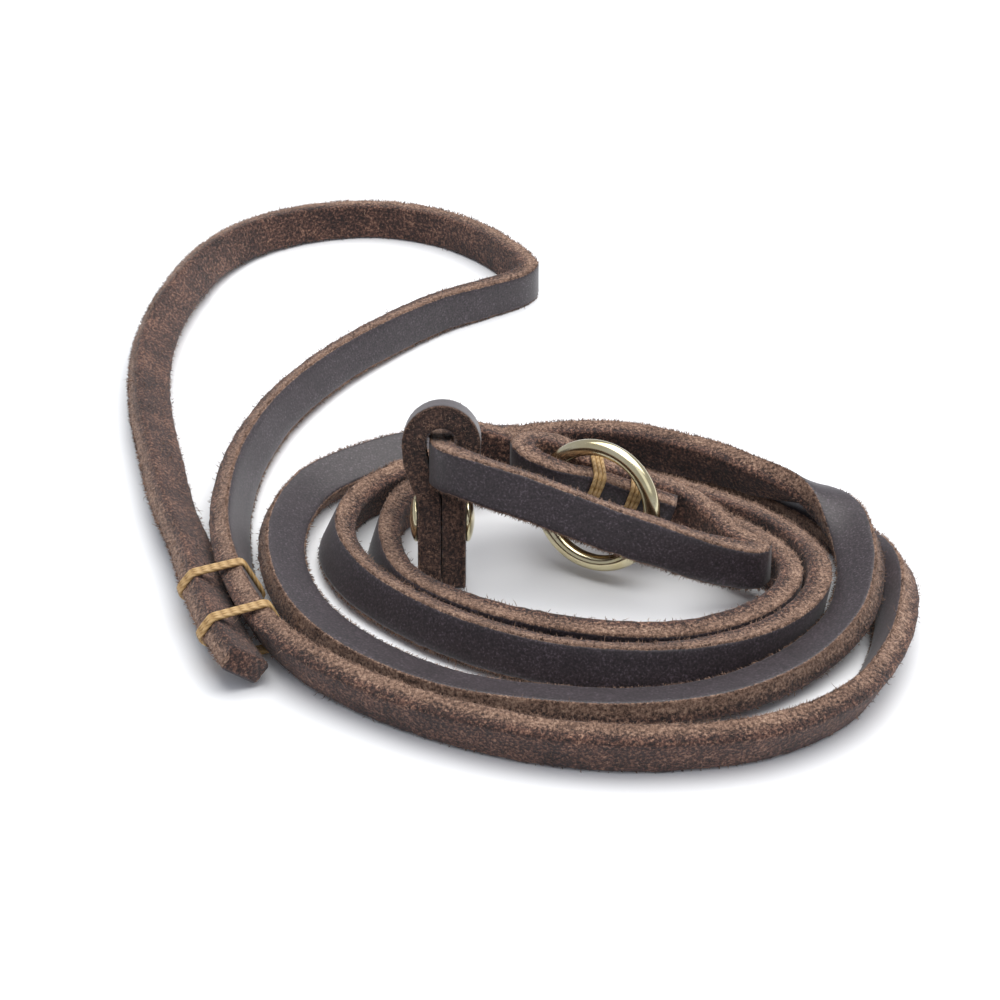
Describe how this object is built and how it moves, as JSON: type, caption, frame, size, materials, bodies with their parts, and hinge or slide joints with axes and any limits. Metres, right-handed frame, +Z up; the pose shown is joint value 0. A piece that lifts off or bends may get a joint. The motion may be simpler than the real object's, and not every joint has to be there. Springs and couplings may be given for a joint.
{
  "type": "leash",
  "caption": "Flat leather training leash, lying coiled: a tied hand loop at one end, a sliding leather keeper and a brass ring held in a tied eye.",
  "frame": {"origin": "middle of the coiled leash, on the surface that it lies on", "axes": "+Z up, +Y from the coil towards the hand loop, +X to the right of that"},
  "size_m": [0.1516, 0.2194, 0.0345],
  "materials": {
    "strap_leather": "oiled grain, raw cut edges",
    "keeper_leather": "oiled, raw cut edges",
    "brass": "polished",
    "thread": "waxed"
  },
  "bodies": {
    "leash": {"strap": "strap_leather", "handle_tie_1": "thread", "handle_tie_2": "thread", "eye_tie_1": "thread", "eye_tie_2": "thread"},
    "ring": {"ring": "brass"},
    "keeper": {"keeper": "keeper_leather", "rivet_post": "brass", "rivet_cap": "brass"}
  },
  "joints": [
    {"name": "ring_turn", "type": "hinge", "parent": "leash", "child": "ring", "pos_m": [0.0194, -0.0446, 0.0142], "axis": [-0.4623, -0.8695, 0.1736], "continuous": true},
    {"name": "keeper_slide", "type": "slide", "parent": "leash", "child": "keeper", "axis": [0, 0.9397, -0.342], "range_m": [-0.001, 0.002]}
  ]
}
